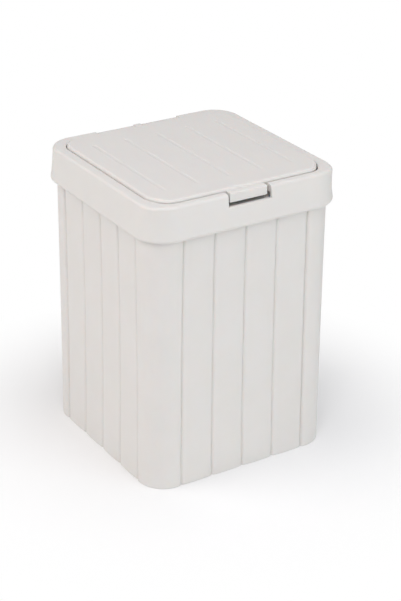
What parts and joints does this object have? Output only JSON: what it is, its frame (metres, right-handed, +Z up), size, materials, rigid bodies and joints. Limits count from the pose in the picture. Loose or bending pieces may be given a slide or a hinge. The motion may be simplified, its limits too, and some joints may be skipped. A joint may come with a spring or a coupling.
{
  "type": "push top countertop bin",
  "caption": "Square countertop waste bin with planked sides, a lift-off surround and a hinged lid that opens at a push on its front tab.",
  "frame": {"origin": "centre of the base, on the surface that the bin stands on", "axes": "+Z up; -Y is the front, with the push tab; +Y is the hinge side; +X to the right as seen from the front"},
  "size_m": [0.1672, 0.1672, 0.2308],
  "materials": {
    "body_plastic": "satin",
    "lid_plastic": "satin",
    "latch_plastic": "matte",
    "pin_steel": "bright",
    "spring_steel": "bright"
  },
  "bodies": {
    "tub": {"bin_body": "body_plastic"},
    "surround": {"lid_surround": "lid_plastic", "latch_housing": "latch_plastic", "latch_cover": "latch_plastic", "latch_end_cap": "latch_plastic", "latch_screw_left": "pin_steel", "latch_screw_right": "pin_steel", "latch_spring": "spring_steel", "lid_spring_left": "spring_steel", "lid_spring_right": "spring_steel"},
    "pins": {"hinge_pin_left": "pin_steel", "hinge_pin_right": "pin_steel"},
    "lid": {"lid_panel": "lid_plastic", "strike_plate": "pin_steel", "strike_screw_left": "pin_steel", "strike_screw_right": "pin_steel"},
    "plunger": {"latch_plunger": "latch_plastic", "latch_magnet": "pin_steel"},
    "follower": {"latch_follower": "spring_steel"}
  },
  "joints": [
    {"name": "surround_lift", "type": "slide", "parent": "tub", "child": "surround", "axis": [0, 0, 1], "range_m": [0, 0.03]},
    {"name": "lid_press", "type": "hinge", "parent": "surround", "child": "pins", "pos_m": [0, 0.0766, 0.2242], "axis": [-1, 0, 0], "range_deg": [-1, 0], "stiffness_Nm_per_rad": 10, "springref_deg": 1.72, "deforming": ["latch_spring", "lid_spring_left", "lid_spring_right"]},
    {"name": "lid_open", "type": "hinge", "parent": "pins", "child": "lid", "pos_m": [0, 0.0766, 0.2242], "axis": [-1, 0, 0], "range_deg": [0, 96], "deforming": ["lid_spring_left", "lid_spring_right"]},
    {"name": "latch_plunge", "type": "slide", "parent": "surround", "child": "plunger", "axis": [0, 0, 1], "range_m": [-0.00245, 0]},
    {"name": "follower_swing", "type": "hinge", "parent": "surround", "child": "follower", "pos_m": [0, -0.0574, 0.1968], "axis": [0, 1, 0], "range_deg": [0, 4.2]}
  ],
  "couplings": [
    {"joint": "latch_plunge", "follows": "lid_press", "m_per_rad": 0.1391},
    {"joint": "follower_swing", "follows": "lid_press", "ratio": -4}
  ]
}
